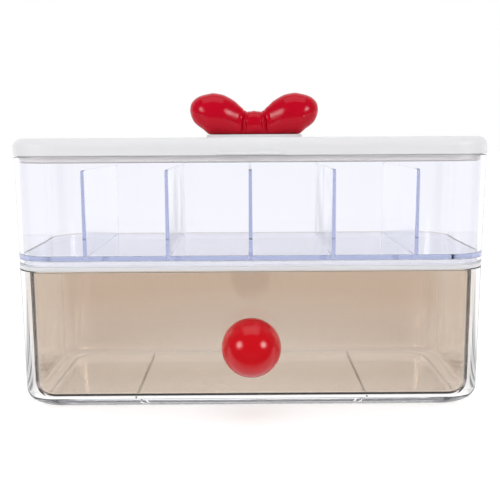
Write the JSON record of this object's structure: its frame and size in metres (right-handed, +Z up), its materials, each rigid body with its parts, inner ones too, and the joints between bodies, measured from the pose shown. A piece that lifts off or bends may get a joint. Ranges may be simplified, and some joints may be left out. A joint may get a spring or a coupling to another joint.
{
  "type": "hair accessory organizer",
  "caption": "Clear countertop box for hair accessories: divided tray under a hinged white lid with a bow handle, above a smoky pull-out drawer with a ball knob.",
  "frame": {"origin": "middle of the housing's flat bottom", "axes": "+X to the right seen from in front, along the box's length; -Y to the front, where the drawer opens; +Z up"},
  "size_m": [0.2402, 0.1313, 0.1588],
  "materials": {
    "clear_plastic": "clear polished moulded polystyrene with a faint blue tint",
    "smoky_plastic": "tea-brown see-through polished polystyrene",
    "white_plastic": "glossy cool white moulded ABS",
    "red_plastic": "high-gloss crimson red moulded ABS",
    "steel": "zinc-plated steel"
  },
  "bodies": {
    "base": {"drawer_housing": "clear_plastic", "deck_plate": "white_plastic", "tray": "clear_plastic", "divider_1": "clear_plastic", "divider_2": "clear_plastic", "divider_3": "clear_plastic", "divider_4": "clear_plastic", "divider_5": "clear_plastic", "hinge_pin_left": "steel", "hinge_pin_right": "steel"},
    "lid": {"lid_shell": "white_plastic", "lid_liner": "white_plastic", "bow_lower_shell": "red_plastic", "bow_upper_shell": "red_plastic", "bow_screw_left": "steel", "bow_screw_right": "steel"},
    "drawer": {"drawer_box": "smoky_plastic", "drawer_knob": "red_plastic", "knob_screw": "steel"}
  },
  "joints": [
    {"name": "lid_hinge", "type": "hinge", "parent": "base", "child": "lid", "pos_m": [0, 0.0529, 0.127], "axis": [-1, 0, 0], "range_deg": [0, 105]},
    {"name": "drawer_slide", "type": "slide", "parent": "base", "child": "drawer", "axis": [0, -1, 0], "range_m": [0, 0.06]}
  ]
}
